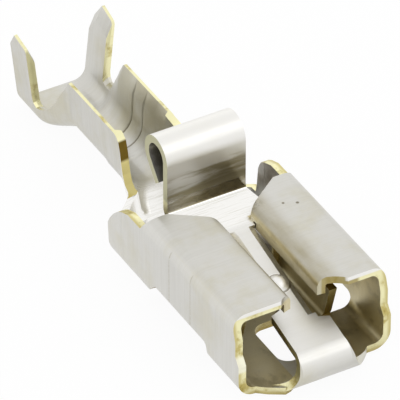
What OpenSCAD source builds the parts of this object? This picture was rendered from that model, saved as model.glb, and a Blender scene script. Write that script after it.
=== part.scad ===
// Female spade terminal with a release lever, stamped and folded from one strip of sheet brass.
// X runs from the wire towards the mouth, Y runs across, Z is up. X = 0 is the front edge of
// the side walls and Z = 0 is the underside of the base.

/* [Sheet] */
// Thickness of the sheet
sheet = 0.38; // [0.32:0.01:0.44]

/* [Receptacle] */
// Width across the outside of the side walls
box_w = 7.7; // [7.4:0.1:8.2]
// Height from the underside of the base to the top of the curls
box_h = 4.1; // [3.9:0.05:4.5]
// Length of the curls, from the mouth to their outer rear corners
curl_len = 8.5; // [8.2:0.1:9]
// Outer radius of the bends between base and side walls
base_bend = 0.85; // [0.7:0.05:1]
// Outer radius of the bends between side walls and curls
top_bend = 0.7; // [0.6:0.05:0.9]
// Outer radius of the inner edge of each curl, where it turns down
curl_bend = 0.5; // [0.44:0.02:0.6]
// Depth that the inner edge of each curl reaches below the top
curl_drop = 0.9; // [0.8:0.05:1]
// Width of the slot left between the two curls
curl_gap = 1.5; // [1.4:0.05:1.6]
// Distance that the lower half of each side wall stands ahead of the upper half
wall_jog = 0.3; // [0.2:0.05:0.5]
// Height at which the front edge of each side wall steps back
jog_z = 1.72; // [1.6:0.02:1.9]
// Height of the low walls behind the curls
rear_wall_h = 3.45; // [3.2:0.05:3.6]

/* [Base cut-outs] */
// Width of the window in the middle of the base
window_w = 2.4; // [2:0.1:2.6]
// Length of the window in the middle of the base
window_len = 2.9; // [2.4:0.1:3.4]
// Distance from the mouth to the two corner slots
slot_front = 2.55; // [2.3:0.05:2.8]
// Length of the corner slots along the side walls
slot_len = 4.6; // [4:0.1:5]
// Height of the corner slots in the side walls
slot_h = 1.1; // [1:0.05:1.3]
// Distance between the outer faces of the two rails that carry the mating tab
rail_span = 4.96; // [4.8:0.02:5.2]
// Height of the rails above the underside of the base
rail_h = 2.1; // [1.9:0.05:2.3]

/* [Spring tongue] */
// Outer radius of the roll at the front of the base
roll_r = 0.93; // [0.85:0.01:1]
// Distance from the mouth to the centre of the roll
roll_x = 0.5; // [0.4:0.05:0.6]
// Width of the roll at its crest
roll_w = 2.4; // [2.2:0.05:2.6]
// Width of the tongue between the curls
tongue_w = 1.4; // [1.2:0.05:1.5]
// Rise of the tongue above level, in degrees
tongue_rise = 13.7; // [12:0.1:14.5]
// Distance from the mouth to the crest of the tongue
tongue_peak = 6.2; // [5.8:0.1:6.6]
// Distance from the mouth to the middle of the locking dimple
dimple_x = 2.9; // [2.6:0.1:3.2]
// Diameter of the locking dimple at its foot
dimple_d = 1; // [0.8:0.05:1.1]

/* [Release lever] */
// Width of the lever
lever_w = 4; // [3.6:0.1:4.2]
// Distance from the mouth to the front face of the lever
lever_x = 9.32; // [9.2:0.02:9.6]
// Height of the top of the lever above the underside of the base
lever_top = 6.55; // [6.3:0.05:6.8]
// Outer radius of the loop at the top of the lever
loop_r = 1.02; // [0.9:0.02:1.1]
// Turn of the loop, in degrees
loop_turn = 220; // [210:1:225]
// Length of the free flap behind the loop
flap_len = 1.15; // [0.9:0.05:1.3]

/* [Wire barrel] */
// Distance from the mouth to the front of the wire wings
wire_front = 15.1; // [14.9:0.1:15.4]
// Length of the wire wings
wire_len = 4.25; // [4:0.05:4.5]
// Width across the outside of the wire wings
wire_w = 3; // [2.8:0.05:3.2]
// Height of the tips of the wire wings
wire_h = 3.48; // [3.3:0.02:3.7]
// Depth of the grooves that grip the strands
groove_depth = 0.07; // [0.05:0.01:0.1]

/* [Insulation barrel] */
// Distance from the mouth to the rear edge of the insulation wings
overall_rear = 23.5; // [23.3:0.1:24]
// Length of the insulation wings along the wire
ins_len = 1.6; // [1.5:0.05:1.9]
// Width across the outside of the tips of the insulation wings
ins_w = 4.7; // [4.4:0.05:5]
// Height of the tips of the insulation wings
ins_h = 4.18; // [4:0.02:4.5]

/* [Hidden] */
$fn = 48;
eps = 0.02;
half_w = box_w / 2;
tin = [0.83, 0.82, 0.79];

// --- shared two-dimensional helpers ---------------------------------------------------------

// Rectangle from two corners
module rect(x1, y1, x2, y2) {
    translate([min(x1, x2), min(y1, y2)]) square([abs(x2 - x1), abs(y2 - y1)]);
}

// Rectangle from two corners with four rounded corners
module round_rect(x1, y1, x2, y2, r) {
    rect(x1 + r, y1, x2 - r, y2);
    rect(x1, y1 + r, x2, y2 - r);
    for (x = [x1 + r, x2 - r], y = [y1 + r, y2 - r]) translate([x, y]) circle(r);
}

// Solid of a profile drawn in the XZ plane, centred across the part
module across(w) { rotate([90, 0, 0]) linear_extrude(w, center = true) children(); }

// Solid of a profile drawn in the YZ plane, from x1 forward to x2
module along(x1, x2) {
    translate([x1, 0, 0]) rotate([90, 0, 90]) linear_extrude(x2 - x1) children();
}

// Solid of a profile drawn in the XY plane, from z1 up to z2
module upright(z1, z2) { translate([0, 0, z1]) linear_extrude(z2 - z1) children(); }

// Ring sector of a bend, from angle a1 to a2 counter-clockwise, with outer radius r
module bend(r, a1, a2) {
    reach = 3 * r;
    mid = (a1 + a2) / 2;
    intersection() {
        difference() { circle(r); circle(r - sheet); }
        polygon([[0, 0], for (a = [a1, (a1 + mid) / 2, mid, (mid + a2) / 2, a2]) reach * [cos(a), sin(a)]]);
    }
}

// --- receptacle box -------------------------------------------------------------------------

// Outline of the box with the outer (0) or inner (1) face of the sheet, open at the slot
module box_face(inner) {
    d = inner * sheet;
    rect(-half_w + base_bend, d, half_w - base_bend, box_h / 2);
    rect(-half_w + d, base_bend, half_w - d, box_h - top_bend);
    rect(-half_w + top_bend, box_h / 2, half_w - top_bend, box_h - d);
    for (s = [-1, 1]) {
        translate([s * (half_w - base_bend), base_bend]) circle(base_bend - d);
        translate([s * (half_w - top_bend), box_h - top_bend]) circle(top_bend - d);
    }
}

// Base, side walls and curls as one folded section
module box_section() {
    curl_y = curl_gap / 2;
    difference() {
        box_face(0);
        box_face(1);
        rect(-curl_y - curl_bend, box_h / 2, curl_y + curl_bend, box_h + 1);
    }
    for (s = [0, 1]) mirror([s, 0]) {
        translate([curl_y + curl_bend, box_h - curl_bend]) bend(curl_bend, 90, 180);
        rect(curl_y, box_h - curl_drop, curl_y + sheet, box_h - curl_bend);
    }
}

// Side view that trims the walls: stepped front edge, low rear walls
module box_side_view() {
    jog_rise = 0.42;
    top_setback = 0.27;
    rise = 0.4;
    polygon([
        [-join_x, -1], [wall_jog, -1], [wall_jog, jog_z], [0, jog_z + jog_rise], [0, box_h - 1.2],
        [-top_setback, box_h - 0.3], [-top_setback, box_h + 1], [-curl_len + rise, box_h + 1],
        [-curl_len + rise, box_h], [-curl_len, rear_wall_h], [-join_x + 0.6, rear_wall_h], [-join_x, join_h]
    ]);
}

// Plan view that trims a curl: front corner hollowed to a radius and depth, slanted rear edge
module curl_plan(notch_r, notch_depth) {
    inner_y = curl_gap / 2;
    difference() {
        polygon([
            [2, half_w + 1], [2, inner_y - 1], [-6.7, inner_y - 1], [-6.7, inner_y],
            [-curl_len, half_w - 0.6], [-curl_len, half_w + 1]
        ]);
        translate([notch_r - notch_depth, inner_y - 0.1]) circle(notch_r);
    }
}

module box_walls() {
    curl_z = box_h - curl_drop - 0.1;
    intersection() {
        along(-join_x, 1) box_section();
        across(2 * box_w) box_side_view();
        union() {
            upright(-1, curl_z) rect(-11, -box_w, 2, box_w);
            for (s = [0, 1]) mirror([0, s, 0]) {
                upright(curl_z - 1, rear_wall_h) rect(-11, half_w - top_bend, 2, half_w + 1);
                upright(curl_z - 1, box_h + 1) if (s == 0) curl_plan(1.8, 0.85); else curl_plan(1, 0.6);
            }
        }
    }
}

// Openings in the base: the window and the two corner slots
module base_cuts() {
    window_front = -0.45;
    upright(-1, sheet + 0.3)
        round_rect(window_front - window_len, -window_w / 2, window_front, window_w / 2, 0.6);
    for (s = [0, 1]) mirror([0, s, 0]) {
        upright(-1, base_bend)
            rect(-slot_front - slot_len, rail_span / 2 - sheet - 0.2, -slot_front, half_w + 1);
        translate([0, half_w, 0]) across(2 * base_bend + 0.2) slot_side_view();
    }
}

// Side view of a corner slot, with a rounded front corner and a slanted rear end
module slot_side_view() {
    r = 0.3;
    slant = 1.1;
    polygon([
        [-slot_front, -1], for (a = [0:15:90]) [-slot_front - r + r * cos(a), slot_h - r + r * sin(a)],
        [-slot_front - slot_len, slot_h], [-slot_front - slot_len - slant, 0.05],
        [-slot_front - slot_len - slant, -1]
    ]);
}

// Rail lanced from the corner of the base and turned up to carry the mating tab
module rail() {
    foot_r = 0.2 + sheet;
    lean = 0.5;
    intersection() {
        along(-slot_front - slot_len, 0) {
            translate([rail_span / 2 - foot_r, foot_r]) bend(foot_r, -90, 0);
            rect(rail_span / 2 - sheet, foot_r, rail_span / 2, rail_h);
            rect(rail_span / 2 - foot_r - 0.3, 0, rail_span / 2 - foot_r, sheet);
        }
        across(2 * box_w) polygon([
            [-slot_front - slot_len, -1], [-slot_front, -1], [-slot_front, sheet],
            [-slot_front + lean, rail_h], [-slot_front + lean, rail_h + 1],
            [-slot_front - slot_len, rail_h + 1]
        ]);
    }
}

// Front apron of the base, whose corners run into the root of the roll, one fuller than the other
module apron() {
    corner = roll_x - wall_jog;
    full = 0.55;
    upright(0, sheet) {
        for (s = [0, 1]) mirror([0, s]) polygon([
            [-0.4, -eps], [-0.4, root_half + corner], [wall_jog, root_half + corner], [roll_x, root_half],
            [roll_x, -eps]
        ]);
        polygon([
            [-0.1, -root_half], [wall_jog, -root_half - full], [roll_x + 0.15, -root_half - 0.12],
            [roll_x + full, -root_half + full], [roll_x + full - 0.08, -root_half + full + 0.3],
            [roll_x + full - 0.2, -root_half + full + 0.53], [roll_x - 0.1, -root_half + full + 0.7]
        ]);
    }
}

// --- spring tongue and release lever --------------------------------------------------------

// Points on an arc about c, from angle a1 to a2
function arc(c, r, a1, a2, steps) =
    [for (i = [0:steps]) let (a = a1 + (a2 - a1) * i / steps) c + r * [cos(a), sin(a)]];
function reverse(list) = [for (i = [len(list) - 1:-1:0]) list[i]];
// Centre of an arc of radius r that touches two lines with unit normals n1 and n2 crossing at p
function fillet(p, n1, n2, r) = p + r * (n1 + n2) / (1 + n1 * n2);

tongue_z0 = roll_r + roll_r * cos(tongue_rise);
tongue_x0 = roll_x + roll_r * sin(tongue_rise);
plate_drop = 0.5;
crest = [-tongue_peak, tongue_z0 + (tongue_x0 + tongue_peak) * tan(tongue_rise)];
heel = [-lever_x, crest[1] - plate_drop];
fall = atan(plate_drop / (lever_x - tongue_peak));
tongue_up = [sin(tongue_rise), cos(tongue_rise)];
plate_up = [-sin(fall), cos(fall)];
crest_r = 2;
heel_r = 0.12;
loop_c = [-lever_x - loop_r, lever_top - loop_r];
roll_c = [roll_x, roll_r];
roll_end = 90 - tongue_rise;

// Face of the strip at depth o, from the end of the roll up over the lever to its flap
function strip_face(o) = concat(
    [roll_c + (roll_r - o) * [cos(roll_end), sin(roll_end)]],
    arc(fillet(crest, -tongue_up, -plate_up, crest_r), crest_r - o, 90 - tongue_rise, 90 + fall, 4),
    arc(fillet(heel, plate_up, [1, 0], heel_r), heel_r + o, 270 + fall, 180, 8),
    arc(loop_c, loop_r - o, 0, loop_turn, 32),
    [loop_c + (loop_r - o) * [cos(loop_turn), sin(loop_turn)] + flap_len * [-sin(loop_turn), cos(loop_turn)]]
);

// Half width of the roll at angle a round it: wide at its root, even from its crest on
function roll_half(a) =
    roll_w / 2 + lookup(a, [[-90, 1.25], [-61, 0.77], [-45, 0.6], [0, 0.25], [45, 0.07], [76, 0]]);
root_half = roll_half(-90);

// Roll at the front of the base
module roll() {
    n = 26;
    points = [for (i = [0:n], r = [roll_r, roll_r - sheet], s = [-1, 1])
        let (a = -90 + (roll_end + 90) * i / n) [roll_x + r * cos(a), s * roll_half(a), roll_r + r * sin(a)]];
    loop = [0, 1, 3, 2];
    polyhedron(points, concat(
        [loop, [for (k = reverse(loop)) 4 * n + k]],
        [for (i = [0:n - 1], k = [0:3]) let (a = 4 * i + loop[k], b = 4 * i + loop[(k + 1) % 4])
            each (k % 2 == 0 ? [[b, a, a + 4, b + 4]] : [[b, a, a + 4], [b, a + 4, b + 4]])]
    ));
}

// Plan view of one half of the strip: narrow between the curls, wide at the lever
module strip_half_plan(shoulder) {
    polygon([
        [2, -eps], [2, roll_w / 2], [-shoulder + 0.15, roll_w / 2], [-shoulder, tongue_w / 2],
        [-tongue_peak - 0.2, tongue_w / 2], [-curl_len + 0.9, lever_w / 2],
        [-14, lever_w / 2], [-14, -eps]
    ]);
}

module tongue() {
    difference() {
        intersection() {
            across(lever_w + 1) polygon(concat(strip_face(0), reverse(strip_face(sheet))));
            upright(-1, 8) for (s = [0, 1]) mirror([0, s]) strip_half_plan(s == 0 ? 0.65 : 1.6);
        }
        tongue_bevel(0.9);
        mirror([0, 1, 0]) tongue_bevel(1.7);
    }
    dimple();
}

// Coined slope along an edge of the tongue between the curls, from distance d behind the mouth
module tongue_bevel(d) {
    flat_half = 0.32;
    slope = 38;
    length = (tongue_peak - d) / cos(tongue_rise);
    translate([-d, flat_half, tongue_z0 + (tongue_x0 + d) * tan(tongue_rise)]) rotate([0, tongue_rise, 0])
        rotate([-slope, 0, 0]) translate([-length, 0, 0]) cube([length, 2, 1]);
}

// Round dimple on the tongue that drops into the hole of the mating tab
module dimple() {
    h = 0.28;
    r = (dimple_d * dimple_d / 4 + h * h) / (2 * h);
    z = tongue_z0 + (tongue_x0 + dimple_x) * tan(tongue_rise);
    translate([-dimple_x, 0, z]) rotate([0, tongue_rise, 0]) rotate_extrude() intersection() {
        translate([0, h - r]) circle(r);
        rect(0, -sheet / 2, dimple_d, h);
    }
}

// --- neck and crimp barrels -----------------------------------------------------------------

// Value that eases from a to b while x goes from x1 to x2
function ease(x, x1, x2, a, b) =
    let (u = max(0, min(1, (x - x1) / (x2 - x1)))) a + (b - a) * u * u * (3 - 2 * u);

join_x = 10.2;
join_h = rear_wall_h - 0.23;
shoulder_x = 11.35;
neck_x = 12.75;
neck_w = 1.95;
neck_lean = 10;
wire_rear = wire_front + wire_len;
wire_z = 0.34;
wire_lean = 4;
wire_foot = (wire_w / 2 - (wire_h - wire_z) * tan(wire_lean)) / (1 - tan(wire_lean));
ins_front = overall_rear - ins_len;
ins_z = -0.35;
ins_r = 1;
ins_lean = 6;
ins_foot = ins_w / 2 - (ins_h - ins_z - ins_r) * tan(ins_lean);
// Step in the floor at the front of the strand grip, and the two grooves behind it
step_x = wire_front + 1.2;
step_h = 0.1;
grooves = [step_x + 0.75, step_x + 1.7];
groove_w = 0.16;
// Tips of the wings are coined thin over this height
coin_h = 0.7;
coin_t = 0.15;

// Half width of the trough where its bottom bends end, at distance d behind the mouth
function trough_w(d) =
    d < neck_x ? ease(d, shoulder_x, neck_x, half_w, neck_w)
    : d < 17 ? ease(d, neck_x, wire_front, neck_w, wire_foot)
    : ease(d, wire_rear, ins_front - 0.2, wire_foot, ins_foot);
// Outer radius of its bottom bends
function trough_r(d) =
    d < 17 ? ease(d, 11, 14.6, base_bend, wire_foot - 0.02)
    : ease(d, wire_rear, ins_front - 0.2, wire_foot - 0.02, ins_r);
// Height of its underside
function trough_z(d) = ease(d, 11.5, 14.5, 0, wire_z - step_h) + ease(d, step_x - 0.1, step_x, 0, step_h)
    - ease(d, wire_rear, ins_front - 0.2, 0, wire_z - ins_z);
// Outward lean of its walls, in degrees
function trough_lean(d) =
    d < neck_x ? ease(d, 11, 12.4, 0, neck_lean)
    : d < 17 ? ease(d, neck_x, 14.8, neck_lean, wire_lean)
    : ease(d, wire_rear, ins_front, wire_lean, ins_lean);
// Thickness of its walls across the part: more where they run aslant, so that the sheet stays even
function flare(d) = (trough_w(d + 0.01) - trough_w(d - 0.01)) / 0.02;
function trough_t(d) = min(0.95 * trough_r(d), 1.3 * sheet, sheet * sqrt(1 + pow(flare(d), 2)));
// Thickness of its tips
function tip_t(d) = min(trough_t(d), ease(d, wire_front - 0.1, wire_front + 0.2, 2 * sheet, coin_t));
// Height of its edge: low walls, neck, wire wings, notch, insulation wings
edge = [
    [join_x, join_h], [10.5, 3.03], [10.8, 2.77], [11, 2.56], [11.25, 2.2], [11.42, 1.85], [11.52, 1.4],
    [11.6, 1.1], [11.75, 1], [11.95, 1.15], [12.2, 1.6], [12.45, 1.84], [12.75, 1.92], [13.2, 2.1],
    [13.6, 2.45], [14, 2.85], [14.6, 3.35], [wire_front, wire_h], [wire_rear, wire_h],
    [wire_rear + 0.12, wire_h - 0.15], [wire_rear + 0.7, 2.4], [wire_rear + 1.15, 1.5],
    [wire_rear + 1.5, 1.05], [ins_front - 0.55, 0.85], [ins_front - 0.3, 0.8], [ins_front - 0.08, 0.95],
    [ins_front, 1.2], [ins_front + 0.02, ins_h - 0.4], [ins_front + 0.12, ins_h - 0.25],
    [overall_rear - 0.55, ins_h], [overall_rear, ins_h - 0.8]
];
// The same on the far side, where the low wall ends sooner
far_edge = concat(
    [for (e = edge) if (e[0] < 10.6) e],
    [[10.65, 2.8], [10.77, 2.5], [10.87, 1.6], [10.97, 1.08], [11.75, 0.95]],
    [for (e = edge) if (e[0] > 11.8) e]
);
// Depth of the strand grooves at distance d
function groove(d) = groove_depth * max([for (g = grooves) max(0, 1 - abs(d - g) / (groove_w / 2))]);

// Half section at distance d under an edge: its face at depths oy across and oz up into the sheet,
// its tip at depth tip, all of it s short of the edge
bend_steps = 7;
function trough_half(d, edge, oy, oz, tip, s) =
    let (w = trough_w(d), r = trough_r(d), z = trough_z(d), top = lookup(d, edge) - s,
         turn = min(90 - trough_lean(d), acos(1 - min(1.9, (top - z) / r))),
         c = [w - r, z + r],
         run = [cos(turn), sin(turn)],
         out = [sin(turn), -cos(turn)],
         rest = max(0.02, (top - z - r * (1 - cos(turn))) / sin(turn)),
         coin = min(coin_h, rest / 2))
    concat(
        [[0, z + oz]],
        [for (i = [0:bend_steps]) let (a = turn * i / bend_steps) c + [(r - oy) * sin(a), (oz - r) * cos(a)]],
        [c + [(r - oy) * sin(turn), (oz - r) * cos(turn)] + (rest - coin) * run],
        [c + (r - tip) * out + rest * run]
    );
function flip(p) = [-p[0], p[1]];
function half_turned(half) = [for (i = [len(half) - 1:-1:1]) flip(half[i])];
function trough_outer(d, edge, inset) = trough_half(d, edge, inset, inset, inset, inset);
function trough_inner(d, edge, inset) =
    let (g = groove(d) + inset) trough_half(d, edge, trough_t(d) - g, sheet - g, tip_t(d) - inset, inset);
function trough_ring(d, inset) = concat(
    half_turned(trough_outer(d, edge, inset)), trough_outer(d, far_edge, inset),
    reverse(trough_inner(d, far_edge, inset)), reverse(half_turned(trough_inner(d, edge, inset)))
);

// Distances of the rings of the trough
stations = concat(
    [join_x + 0.03, 10.5, 10.65, 10.77, 10.87, 10.97, 11.1, 11.25, 11.35, 11.42, 11.52, 11.6, 11.68, 11.75],
    [for (i = [0:6]) 11.85 + i * 0.12], [for (i = [0:5]) 12.75 + i * 0.36],
    [14.9, wire_front, wire_front + 0.2, step_x - 0.1, step_x],
    [for (g = grooves, k = [-1, 0, 1]) g + k * groove_w / 2],
    [wire_rear, wire_rear + 0.12, wire_rear + 0.4], [for (i = [0:3]) wire_rear + 0.7 + i * 0.35],
    [for (x = [-0.55, -0.3, -0.08, 0, 0.02, 0.12, 0.5]) ins_front + x],
    [overall_rear - 0.55, overall_rear]
);
// Neck and barrels, with a plug at the front that sits inside the sheet of the box walls
module barrels() {
    plug = 0.25;
    inset = 0.02;
    rings = concat([[join_x - plug, inset], [join_x + inset / 2, inset]], [for (d = stations) [d, 0]]);
    outlines = [for (r = rings) [for (p = trough_ring(r[0], r[1])) [-r[0], p[0], p[1]]]];
    n = len(outlines[0]);
    m = len(rings);
    half = n / 2;
    polyhedron(
        points = [for (o = outlines) each o],
        faces = concat(
            [for (j = [0:half - 2]) [n - 1 - j, n - 2 - j, j + 1, j]],
            [for (j = [0:half - 2]) let (k = (m - 1) * n) [k + j, k + j + 1, k + n - 2 - j, k + n - 1 - j]],
            [for (i = [0:m - 2], j = [0:n - 1]) let (a = i * n + j, b = i * n + (j + 1) % n)
                each [[b, a + n, a], [b + n, a + n, b]]]
        )
    );
}

// --- the terminal ---------------------------------------------------------------------------

module terminal() {
    color(tin) {
        difference() {
            box_walls();
            base_cuts();
        }
        apron();
        for (s = [0, 1]) mirror([0, s, 0]) rail();
        roll();
        tongue();
        barrels();
    }
}

terminal();
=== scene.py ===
"""A tin-plated female spade terminal on a plain white floor, seen from above its mouth."""
import math

import bmesh
import bpy
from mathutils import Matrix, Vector
from mathutils.bvhtree import BVHTree


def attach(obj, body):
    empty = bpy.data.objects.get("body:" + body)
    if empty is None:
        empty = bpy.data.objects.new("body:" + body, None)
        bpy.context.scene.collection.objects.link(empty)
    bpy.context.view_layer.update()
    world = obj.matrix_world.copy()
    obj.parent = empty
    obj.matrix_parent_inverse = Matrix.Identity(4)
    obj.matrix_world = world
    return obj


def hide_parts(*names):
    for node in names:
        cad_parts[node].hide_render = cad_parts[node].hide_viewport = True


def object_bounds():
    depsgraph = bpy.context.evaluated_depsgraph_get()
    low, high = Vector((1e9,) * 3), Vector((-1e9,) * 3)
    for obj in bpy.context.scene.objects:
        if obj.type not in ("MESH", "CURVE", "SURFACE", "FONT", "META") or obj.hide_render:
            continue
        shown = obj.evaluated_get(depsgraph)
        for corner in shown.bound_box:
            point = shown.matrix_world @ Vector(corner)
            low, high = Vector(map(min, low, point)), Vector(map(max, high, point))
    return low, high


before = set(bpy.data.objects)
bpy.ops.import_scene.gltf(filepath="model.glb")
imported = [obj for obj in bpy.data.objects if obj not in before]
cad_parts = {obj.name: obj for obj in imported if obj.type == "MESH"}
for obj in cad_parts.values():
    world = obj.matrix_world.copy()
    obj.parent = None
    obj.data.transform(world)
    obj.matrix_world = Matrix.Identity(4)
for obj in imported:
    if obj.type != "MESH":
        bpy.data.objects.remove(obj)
CAD_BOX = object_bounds()

MM = 0.001
SHEET = 0.38 * MM
FLOOR_Z = CAD_BOX[0].z


# --- camera -------------------------------------------------------------------------------


def make_camera():
    """A long lens in front of the mouth, above and to the near side."""
    azimuth = math.radians(-29.49)
    elevation = math.radians(37.88)
    distance = 323.5 * MM
    to_left = 5.0696 * MM
    raised = 7.5671 * MM
    aim = Vector((0.38 * MM, 0, 0))
    back = Vector((
        math.cos(elevation) * math.cos(azimuth),
        math.cos(elevation) * math.sin(azimuth),
        math.sin(elevation),
    ))
    right = Vector((0, 0, 1)).cross(back).normalized()
    up = back.cross(right)
    data = bpy.data.cameras.new("camera")
    data.sensor_width = 36.0
    data.lens = 664.479
    data.clip_start = 0.01
    data.clip_end = 10.0
    cam = bpy.data.objects.new("camera", data)
    bpy.context.scene.collection.objects.link(cam)
    cam.location = aim + back * distance - right * to_left + up * raised
    cam.rotation_mode = "QUATERNION"
    cam.rotation_quaternion = back.to_track_quat("Z", "Y")
    bpy.context.scene.camera = cam


# --- node helpers -------------------------------------------------------------------------


class Nodes:
    """Short calls for building a node tree."""

    def __init__(self, tree):
        self.tree = tree

    def add(self, kind, **inputs):
        node = self.tree.nodes.new(kind)
        for name, value in inputs.items():
            self.put(node, name.replace("_", " "), value)
        return node

    def put(self, node, name, value):
        socket = node.inputs[name]
        if isinstance(value, bpy.types.NodeSocket):
            self.tree.links.new(value, socket)
        else:
            socket.default_value = value

    def math(self, op, a, b=0.0, clamp=False):
        node = self.tree.nodes.new("ShaderNodeMath")
        node.operation = op
        node.use_clamp = clamp
        self.put(node, 0, a)
        self.put(node, 1, b)
        return node.outputs[0]

    def vector(self, op, a, b=None):
        """The node of a vector operation on a and b."""
        node = self.tree.nodes.new("ShaderNodeVectorMath")
        node.operation = op
        self.put(node, 0, a)
        if b is not None:
            self.put(node, 1, b)
        return node

    def mix(self, factor, a, b):
        node = self.tree.nodes.new("ShaderNodeMix")
        node.data_type = "RGBA"
        self.put(node, "Factor", factor)
        for name, value in (("A", a), ("B", b)):
            socket = [s for s in node.inputs if s.name == name and s.type == "RGBA"][0]
            if isinstance(value, bpy.types.NodeSocket):
                self.tree.links.new(value, socket)
            else:
                socket.default_value = (*value, 1.0)
        return [s for s in node.outputs if s.type == "RGBA"][0]

    def product(self, first, *others):
        for other in others:
            first = self.math("MULTIPLY", first, other)
        return first

    def greater(self, a, b):
        return self.math("MAXIMUM", a, b)

    def ramp(self, value, low, high):
        """0 below low, 1 above high, smooth between; low may be above high."""
        node = self.add("ShaderNodeMapRange", Value=value)
        node.interpolation_type = "SMOOTHSTEP"
        self.put(node, "From Min", low)
        self.put(node, "From Max", high)
        return node.outputs[0]

    def between(self, value, low, high, soft):
        """1 where value lies between low and high, with soft ends."""
        rise = self.ramp(value, low - soft, low + soft)
        return self.product(rise, self.ramp(value, high + soft, high - soft))

    def stretched(self, value, low, high):
        """value, from 0 to 1, stretched to run from low to high."""
        return self.math("ADD", self.product(value, high - low), low)


class Metal(Nodes):
    """A metal material whose colour is built up layer by layer, real stains and painted light alike. Its
    lengths are millimetres.
    """

    def __init__(self, name, colour, roughness):
        self.material = bpy.data.materials.new(name)
        self.material.use_nodes = True
        super().__init__(self.material.node_tree)
        self.shader = self.tree.nodes["Principled BSDF"]
        self.shader.inputs["Metallic"].default_value = 1.0
        self.shader.inputs["Base Color"].default_value = (*colour, 1.0)
        self.shader.inputs["Roughness"].default_value = roughness
        metres = self.add("ShaderNodeTexCoord").outputs["Object"]
        self.place = self.vector("MULTIPLY", metres, (1 / MM, 1 / MM, 1 / MM)).outputs[0]
        self.x, self.y, self.z = self.add("ShaderNodeSeparateXYZ", Vector=self.place).outputs
        self.aside = self.math("ABSOLUTE", self.y)
        self.colour = colour

    def lay_colour(self, colour, *masks):
        """Lays a colour over the metal where all the masks are above 0."""
        self.colour = self.mix(self.product(*masks), self.colour, colour)

    def noise(self, stretch, detail=3.0, roughness=0.5):
        """Noise with stretch cells per millimetre along each axis."""
        scaled = self.vector("MULTIPLY", self.place, stretch).outputs[0]
        node = self.add("ShaderNodeTexNoise", Scale=1.0, Detail=detail, Roughness=roughness, Vector=scaled)
        return node.outputs["Fac"]

    def openness(self, reach):
        """How open the surface is to its surroundings, from 0 in a deep corner to 1."""
        node = self.add("ShaderNodeAmbientOcclusion", Distance=reach * MM)
        node.samples = 8
        return node.outputs["AO"]

    def bump(self, strength, depth, height):
        """Normals of a surface that rises by depth where height is 1."""
        return self.add("ShaderNodeBump", Strength=strength, Distance=depth * MM, Height=height).outputs[0]

    def finish(self, roughness, normal):
        self.put(self.shader, "Base Color", self.colour)
        self.put(self.shader, "Roughness", roughness)
        self.put(self.shader, "Normal", normal)
        return self.material


# --- tin plating --------------------------------------------------------------------------

TIN = (0.66, 0.65, 0.61)
TIN_GREY = (0.58, 0.57, 0.52)
TIN_WARM = (0.61, 0.585, 0.48)
# painted highlight: pale tin laid where the surface should look brightly lit
TIN_HIGHLIGHT = (0.92, 0.91, 0.88)
DUST = (0.4, 0.38, 0.3)
OLIVE = (0.34, 0.295, 0.17)
# INSIDE and UNDER_CURL: painted shade and reflected tint for the inside of the box
INSIDE = (0.72, 0.64, 0.40)
UNDER_CURL = (0.42, 0.33, 0.15)
FAR_WALL_DARK = (0.36, 0.31, 0.25)
# real tarnish in pits and smears, painted shade in hollows, creases, grooves and round the dimple
TARNISH_AND_SHADE = (0.17, 0.145, 0.085)

TOP_Z = 4.1
DIMPLE_X = -2.9
GROOVES = (-17.05, -18.0)
FORMING_LINES = ((-4.0, 0.03, 0.03), (-5.89, 0.04, 0.04))
PITS = ((-6.26, 2.15, 0.06), (-5.98, 2.72, 0.07))


def spring_mask(tin):
    """The tongue between the curls and the roll, without what lies under them."""
    on_roll = tin.product(tin.ramp(tin.x, -2.6, -2.4), tin.ramp(tin.z, 2.8, 2.6))
    edge = tin.stretched(on_roll, 0.745, 1.245)
    inner = tin.ramp(tin.math("SUBTRACT", tin.aside, edge), 0.01, -0.01)
    above = tin.greater(tin.ramp(tin.z, 0.6, 0.7), tin.ramp(tin.x, -1.1, -0.9))
    return tin.product(inner, above)


def paint_highlights(tin, on_spring):
    """Painted highlights on the tongue, the near wall and the lever's upper part."""
    middle = tin.product(on_spring, tin.ramp(tin.x, -6.4, -6.2), tin.between(tin.z, 1.2, 3.7, 0.4), 0.58)
    near_wall = tin.product(tin.ramp(tin.y, -3.5, -3.7), 0.22)
    lever = tin.product(tin.ramp(tin.x, -8.8, -9.0), tin.ramp(tin.z, 3.9, 4.7), 0.8)
    tin.lay_colour(TIN_HIGHLIGHT, tin.greater(tin.greater(middle, near_wall), lever))


def smear_and_shade_lever(tin):
    """The lower half of the lever's front is smeared and darkened by a painted reflection of dark
    surroundings, most towards the far side; painted shade lines the crease at its foot.
    """
    front = tin.product(tin.between(tin.x, -9.55, -9.26, 0.03), tin.between(tin.y, -2.1, 2.1, 0.04))
    smears_and_reflection = tin.noise((1, 0.3, 1.9), detail=5.0, roughness=0.6)
    ragged = tin.product(tin.math("SUBTRACT", smears_and_reflection, 0.5), 2.0)
    low = tin.product(front, tin.ramp(tin.math("ADD", tin.z, ragged), 5.15, 4.7))
    far_side = tin.product(tin.between(tin.y, -0.6, 1.7, 0.9), 0.16)
    smears_and_reflection = tin.math("ADD", smears_and_reflection, far_side)
    tin.lay_colour(OLIVE, low, tin.ramp(smears_and_reflection, 0.42, 0.6), 0.85)
    tin.lay_colour(TARNISH_AND_SHADE, low, tin.between(tin.z, 3.9, 4.6, 0.25), tin.ramp(smears_and_reflection, 0.56, 0.7), 0.5)
    # painted shade in the crease at the lever's foot
    tin.lay_colour(OLIVE, front, tin.ramp(tin.z, 3.62, 3.5), 0.3)


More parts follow.
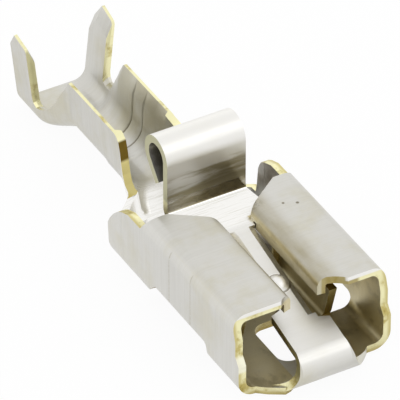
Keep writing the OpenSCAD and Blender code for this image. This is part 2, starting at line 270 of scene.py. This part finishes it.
def darken_box(tin, on_spring, blots):
    """The curls are darker olive along the slot, and the inside of the box gets painted shade all over."""
    along_slot = tin.stretched(tin.noise((0.8, 3, 3), detail=5.0), 0.3, 1.3)
    tin.lay_colour(OLIVE, tin.between(tin.y, -1.0, 1.55, 0.5), tin.ramp(tin.z, 3.6, 3.7),
              tin.ramp(tin.x, -7.8, -7.4), along_slot, 0.7)
    # painted shade inside the box: a yellowed tint for the light it reflects, olive mottle, browner under
    # the curls, darkest in the hollows
    inside = tin.product(tin.between(tin.x, -7.0, 0.75, 0.1), tin.math("SUBTRACT", 1.0, on_spring),
                         tin.between(tin.z, 0.2, 3.85, 0.1), tin.ramp(tin.aside, 3.68, 3.56))
    tin.lay_colour(INSIDE, inside, tin.stretched(blots, 0.55, 1.3))
    mottle = tin.ramp(tin.noise((0.9, 1.2, 1.2), detail=5.0, roughness=0.6), 0.5, 0.68)
    tin.lay_colour(OLIVE, inside, mottle, 0.5)
    tin.lay_colour(UNDER_CURL, inside, tin.ramp(tin.z, 3.3, 3.6), tin.ramp(tin.aside, 1.3, 1.6), 0.6)
    tin.lay_colour(TARNISH_AND_SHADE, inside, tin.ramp(tin.openness(4), 0.5, 0.15), 0.4)


def mark_dimple(tin, on_spring):
    """The dimple on the tongue gets a painted highlight, with painted shade as its dark outline."""
    along = tin.math("POWER", tin.math("SUBTRACT", tin.x, DIMPLE_X), 2.0)
    off = tin.math("SQRT", tin.math("ADD", along, tin.product(tin.y, tin.y)))
    dimple = tin.product(on_spring, tin.ramp(off, 0.6, 0.55))
    tin.lay_colour(TIN_HIGHLIGHT, dimple)
    tin.lay_colour(TARNISH_AND_SHADE, dimple, tin.between(off, 0.47, 0.53, 0.02), 0.75)


def stain_and_shade_rear(tin, blots):
    """Pitted rear tip of the far curl, a darker far low wall, painted shade inside the lever's loop."""
    pitted = tin.ramp(tin.noise((6, 6, 6), detail=4.0, roughness=0.7), 0.46, 0.6)
    tin.lay_colour(TARNISH_AND_SHADE, tin.between(tin.x, -7.7, -6.7, 0.25), tin.between(tin.y, 0.6, 1.3, 0.2),
              tin.ramp(tin.z, 3.4, 3.5), pitted, 0.8)
    # darker inner face of the far low wall
    tin.lay_colour(FAR_WALL_DARK, tin.between(tin.y, 3.3, 3.55, 0.04), tin.ramp(tin.x, -7.0, -7.2),
              tin.ramp(tin.z, 1.6, 2.2), tin.ramp(tin.z, 3.6, 3.5), tin.ramp(blots, 0.3, 0.6))
    # painted shade inside the lever's loop, darkest where it is most closed
    tin.lay_colour(TARNISH_AND_SHADE, tin.between(tin.x, -11.2, -9.5, 0.05), tin.ramp(tin.z, 3.5, 3.7),
              tin.ramp(tin.openness(2), 0.6, 0.35), 0.8)


def stain_and_shade_barrel(tin, blots):
    """Old stains on the far wire wing, and painted shade as dark lines in the two grooves."""
    tin.lay_colour(OLIVE, tin.between(tin.x, -18.2, -15.2, 0.3), tin.ramp(tin.y, 0.7, 1.2),
              tin.ramp(blots, 0.45, 0.65), 0.5)
    tin.lay_colour(TIN_WARM, tin.between(tin.x, -19.3, -15.0, 0.2), tin.ramp(tin.y, 0.8, 1.2), 0.45)
    facing = tin.add("ShaderNodeNewGeometry").outputs["True Normal"]
    facing_y = tin.add("ShaderNodeSeparateXYZ", Vector=facing).outputs[1]
    # painted shade in the grooves
    first, second = [tin.between(tin.x, g - 0.04, g + 0.04, 0.03) for g in GROOVES]
    tin.lay_colour(TARNISH_AND_SHADE, tin.greater(first, second), tin.ramp(tin.z, 2.4, 1.9),
              tin.ramp(tin.y, -1.0, -0.9), tin.ramp(facing_y, 0.5, 0.3), 0.8)


def mark_outside(tin, specks):
    """Two forming lines down the near wall and two pits in the top of the far curl."""
    first, second = [tin.between(tin.x, at - half, at + half, soft) for at, half, soft in FORMING_LINES]
    tin.lay_colour(OLIVE, tin.math("ADD", first, second), tin.ramp(tin.y, -3.6, -3.8),
              tin.ramp(specks, 0.35, 0.55), 0.4)
    for pit_x, pit_y, size in PITS:
        off = tin.vector("DISTANCE", tin.place, (pit_x, pit_y, TOP_Z)).outputs["Value"]
        tin.lay_colour(TARNISH_AND_SHADE, tin.ramp(off, 1.4 * size, 0.7 * size), 0.85)


def lean_normals(tin, normal, bright):
    """Leans the shading of the burnished parts, forward before the lever and back behind it.

    This only makes them bright as seen by the camera. The mesh isn't leaned, and from other
    sides these parts don't reflect as their shape would."""
    before = tin.product(bright, tin.ramp(tin.x, -11.0, -10.0))
    behind = tin.product(bright, tin.ramp(tin.x, -10.0, -11.0))
    lean = tin.add(
        "ShaderNodeCombineXYZ",
        X=tin.math("SUBTRACT", tin.product(before, 0.58), tin.product(behind, 0.4)),
        Y=tin.product(behind, -0.3),
        Z=tin.product(behind, 0.5),
    )
    tilted = tin.vector("ADD", normal, lean.outputs[0]).outputs[0]
    return tin.vector("NORMALIZE", tilted).outputs[0]


def make_tin():
    """Satin tin plating: fine streaks across the strip, warm stains, painted highlights, and painted shade
    in hollows.
    """
    tin = Metal("tin_plating", TIN, 0.45)
    streaks = tin.noise((12, 0.35, 0.35), detail=6.0, roughness=0.7)
    blots = tin.noise((0.5, 0.4, 0.4), detail=5.0, roughness=0.6)
    specks = tin.noise((14, 14, 14), detail=3.0, roughness=0.7)
    tin.lay_colour(TIN_WARM, tin.ramp(blots, 0.42, 0.72))
    tin.lay_colour(TIN_GREY, tin.ramp(streaks, 0.4, 0.7), 0.26)
    tin.lay_colour(DUST, tin.ramp(specks, 0.66, 0.74), 0.25)

    # the flat part before the lever and the neck behind it are burnished, and get a painted highlight
    bright = tin.product(tin.between(tin.x, -14.2, -6.3, 0.5), tin.between(tin.y, -3.2, 3.2, 0.15),
                         tin.ramp(tin.z, 3.75, 3.6))
    tin.lay_colour(TIN_HIGHLIGHT, bright)
    tin.lay_colour(TIN_WARM, bright, tin.ramp(streaks, 0.5, 0.66), 0.4)

    on_spring = spring_mask(tin)
    paint_highlights(tin, on_spring)
    smear_and_shade_lever(tin)
    darken_box(tin, on_spring, blots)
    mark_dimple(tin, on_spring)
    stain_and_shade_rear(tin, blots)
    stain_and_shade_barrel(tin, blots)
    mark_outside(tin, specks)

    rough = tin.stretched(tin.ramp(streaks, 0.35, 0.65), 0.36, 0.46)
    rough = tin.math("SUBTRACT", rough, tin.product(bright, 0.2))
    return tin.finish(rough, lean_normals(tin, tin.bump(0.18, 0.006, streaks), bright))


# --- bare brass ---------------------------------------------------------------------------

BRASS = (0.90, 0.86, 0.53)
BRASS_DEEP = (0.52, 0.43, 0.14)
BRASS_BROWN = (0.22, 0.15, 0.03)
BRASS_BURNT = (0.13, 0.085, 0.015)
BRASS_GREY = (0.5, 0.485, 0.31)
BRASS_DULL = (0.30, 0.22, 0.06)
BRASS_TINNED = (0.62, 0.59, 0.45)
BRASS_PALE = (0.96, 0.95, 0.8)


def make_brass():
    """Bare brass of the sheared edges: pale, deeper at the outer rim, browned in places, with painted
    shade in the hollows.
    """
    brass = Metal("bare_brass", BRASS, 0.4)
    x, y, z, aside = brass.x, brass.y, brass.z, brass.aside
    patches = brass.noise((0.9, 0.9, 0.9), detail=5.0, roughness=0.6)
    rim = brass.greater(brass.ramp(aside, 3.6, 3.8), brass.ramp(z, 0.26, 0.08))
    brass.lay_colour(BRASS_DEEP, brass.greater(brass.product(rim, 0.7), brass.ramp(patches, 0.5, 0.68)))
    brass.lay_colour(BRASS_BROWN, brass.ramp(patches, 0.66, 0.76))

    # the near wall of the neck
    neck = brass.product(brass.ramp(y, -0.2, -0.4), brass.ramp(z, 0.8, 1.0))
    brass.lay_colour(BRASS_DEEP, neck, brass.between(x, -14.0, -11.3, 0.2), 0.8)
    brass.lay_colour(BRASS_BURNT, neck, brass.between(x, -14.6, -13.9, 0.07))

    # painted shade in the hollows; the lever's near side, the far curl's front notch, the tongue's flanks
    brass.lay_colour(BRASS_BROWN, brass.ramp(brass.openness(3), 0.72, 0.3))
    brass.lay_colour(BRASS_GREY, brass.between(x, -12.0, -8.9, 0.05), brass.ramp(z, 3.5, 3.7),
                brass.ramp(y, -1.8, -1.9))
    brass.lay_colour(BRASS_DULL, brass.between(y, 0.6, 2.5, 0.1), brass.between(x, -1.2, -0.2, 0.04),
                brass.ramp(z, 3.0, 3.1), 0.75)
    brass.lay_colour(BRASS_TINNED, brass.ramp(aside, 1.0, 0.9), brass.between(x, -6.3, -0.4, 0.1),
                brass.ramp(z, 1.2, 1.4), 0.85)

    # the near wall's step is pale; tin is dragged over the far apron corner; the top's front edge is
    # partly dragged tin, partly a painted highlight
    brass.lay_colour(BRASS_PALE, brass.ramp(y, -3.2, -3.4), brass.between(z, 1.4, 2.1, 0.1), 0.8)
    brass.lay_colour(TIN, brass.ramp(x, 0.3, 0.4), brass.ramp(y, 1.3, 1.5), brass.ramp(z, 0.75, 0.6), 0.85)
    brass.lay_colour(TIN_HIGHLIGHT, brass.ramp(x, -0.4, -0.3), brass.ramp(z, 3.86, 3.94))

    grain = brass.noise((5, 5, 5), detail=4.0)
    return brass.finish(brass.stretched(grain, 0.3, 0.5), brass.bump(0.3, 0.01, grain))


# --- the terminal -------------------------------------------------------------------------


def patches_of(bm, angle):
    """Groups of faces that meet at less than the angle, so that sharp edges part them."""
    left = set(bm.faces)
    while left:
        patch = []
        todo = [left.pop()]
        while todo:
            face = todo.pop()
            patch.append(face)
            for edge in face.edges:
                for other in edge.link_faces:
                    if other in left and face.normal.angle(other.normal, 0) < angle:
                        left.discard(other)
                        todo.append(other)
        yield patch


def sort_faces(bm):
    """Patches with much metal behind them are sheared edges (1), the others plated (0).

    The dimple and the front lip of the near curl are plated too."""
    tree = BVHTree.FromBMesh(bm)
    for patch in patches_of(bm, math.radians(27)):
        edge_area = 0.0
        for face in patch:
            centre = face.calc_center_median()
            hit = tree.ray_cast(centre - face.normal * 1e-6, -face.normal)
            depth = hit[3] if hit[0] is not None else 1.0
            if depth > 1.4 * SHEET:
                edge_area += face.calc_area()
        middle = sum((f.calc_center_median() for f in patch), Vector()) / len(patch)
        dimple = (middle - Vector((DIMPLE_X, 0, 2.9)) * MM).length < 0.6 * MM
        near_lip = -1.6 < middle.y / MM < 0 and middle.z > 3 * MM and middle.x > -1.2 * MM
        sheared = edge_area > 0.5 * sum(f.calc_area() for f in patch)
        sheared = sheared and not dimple and not near_lip
        for face in patch:
            face.material_index = 1 if sheared else 0


def soften(skin):
    """Rounds the sharp edges a little and keeps the flats flat."""
    bevel = skin.modifiers.new("softened_edges", "BEVEL")
    bevel.width = 0.045 * MM
    bevel.segments = 2
    bevel.limit_method = "ANGLE"
    bevel.angle_limit = math.radians(35)
    bevel.harden_normals = False
    weights = skin.modifiers.new("flat_faces", "WEIGHTED_NORMAL")
    weights.keep_sharp = True


def make_skin(node):
    """The folded sheet with softened edges, in place of the CAD node."""
    bm = bmesh.new()
    bm.from_mesh(node.data)
    bmesh.ops.remove_doubles(bm, verts=bm.verts, dist=1e-7)
    bm.normal_update()
    sort_faces(bm)
    bmesh.ops.dissolve_limit(
        bm, angle_limit=math.radians(0.5), verts=bm.verts, edges=bm.edges, delimit={"MATERIAL"}
    )
    mesh = bpy.data.meshes.new("terminal_skin")
    bm.to_mesh(mesh)
    bm.free()
    skin = bpy.data.objects.new("terminal_skin", mesh)
    bpy.context.scene.collection.objects.link(skin)
    mesh.materials.append(make_tin())
    mesh.materials.append(make_brass())
    mesh.shade_smooth()
    mesh.set_sharp_from_angle(angle=math.radians(28))
    soften(skin)
    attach(skin, "root")
    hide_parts("terminal")
    return skin


# --- studio -------------------------------------------------------------------------------


def seen(nodes):
    """1 for rays that come from the camera, a mirror or glass, 0 for the light on matt things."""
    path = nodes.add("ShaderNodeLightPath").outputs
    some = nodes.math("ADD", path["Is Camera Ray"], path["Is Glossy Ray"])
    return nodes.math("ADD", some, path["Is Transmission Ray"], clamp=True)


def make_world():
    """Even white light from all around."""
    world = bpy.data.worlds.new("studio")
    world.use_nodes = True
    bpy.context.scene.world = world
    background = world.node_tree.nodes["Background"]
    background.inputs["Color"].default_value = (1, 1, 1, 1)
    background.inputs["Strength"].default_value = 1.0


def make_floor():
    """A white floor that keeps a trace of the terminal's shadow."""
    bpy.ops.mesh.primitive_plane_add(size=2.0, location=(0, 0, FLOOR_Z))
    floor = bpy.context.object
    floor.name = "floor"
    mat = bpy.data.materials.new("white_floor")
    mat.use_nodes = True
    tree = mat.node_tree
    nodes = Nodes(tree)
    matt = tree.nodes["Principled BSDF"]
    matt.inputs["Base Color"].default_value = (0.9, 0.9, 0.9, 1)
    matt.inputs["Roughness"].default_value = 0.8
    matt.inputs["Specular IOR Level"].default_value = 0.0
    glow = nodes.add("ShaderNodeEmission", Color=(1, 1, 1, 1), Strength=1.0)
    share = nodes.math("MULTIPLY", seen(nodes), 0.94)
    both = tree.nodes.new("ShaderNodeMixShader")
    nodes.put(both, 0, share)
    tree.links.new(matt.outputs[0], both.inputs[1])
    tree.links.new(glow.outputs[0], both.inputs[2])
    tree.links.new(both.outputs[0], tree.nodes["Material Output"].inputs["Surface"])
    floor.data.materials.append(mat)


def make_lamp(name, place, size, power):
    """A square soft lamp aimed at the terminal."""
    data = bpy.data.lights.new(name, "AREA")
    data.size = size
    data.energy = power
    lamp = bpy.data.objects.new(name, data)
    bpy.context.scene.collection.objects.link(lamp)
    lamp.location = place
    lamp.rotation_mode = "QUATERNION"
    lamp.rotation_quaternion = (Vector(place) - Vector((-0.01, 0, 0))).to_track_quat("Z", "Y")


make_camera()
make_skin(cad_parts["terminal"])
make_world()
make_floor()
make_lamp("low_back", (-0.42, 0.19, 0.19), 0.12, 0.02)
make_lamp("high_front", (0.14, 0.14, 0.24), 0.2, 0.065)
bpy.context.scene.view_settings.view_transform = "Standard"
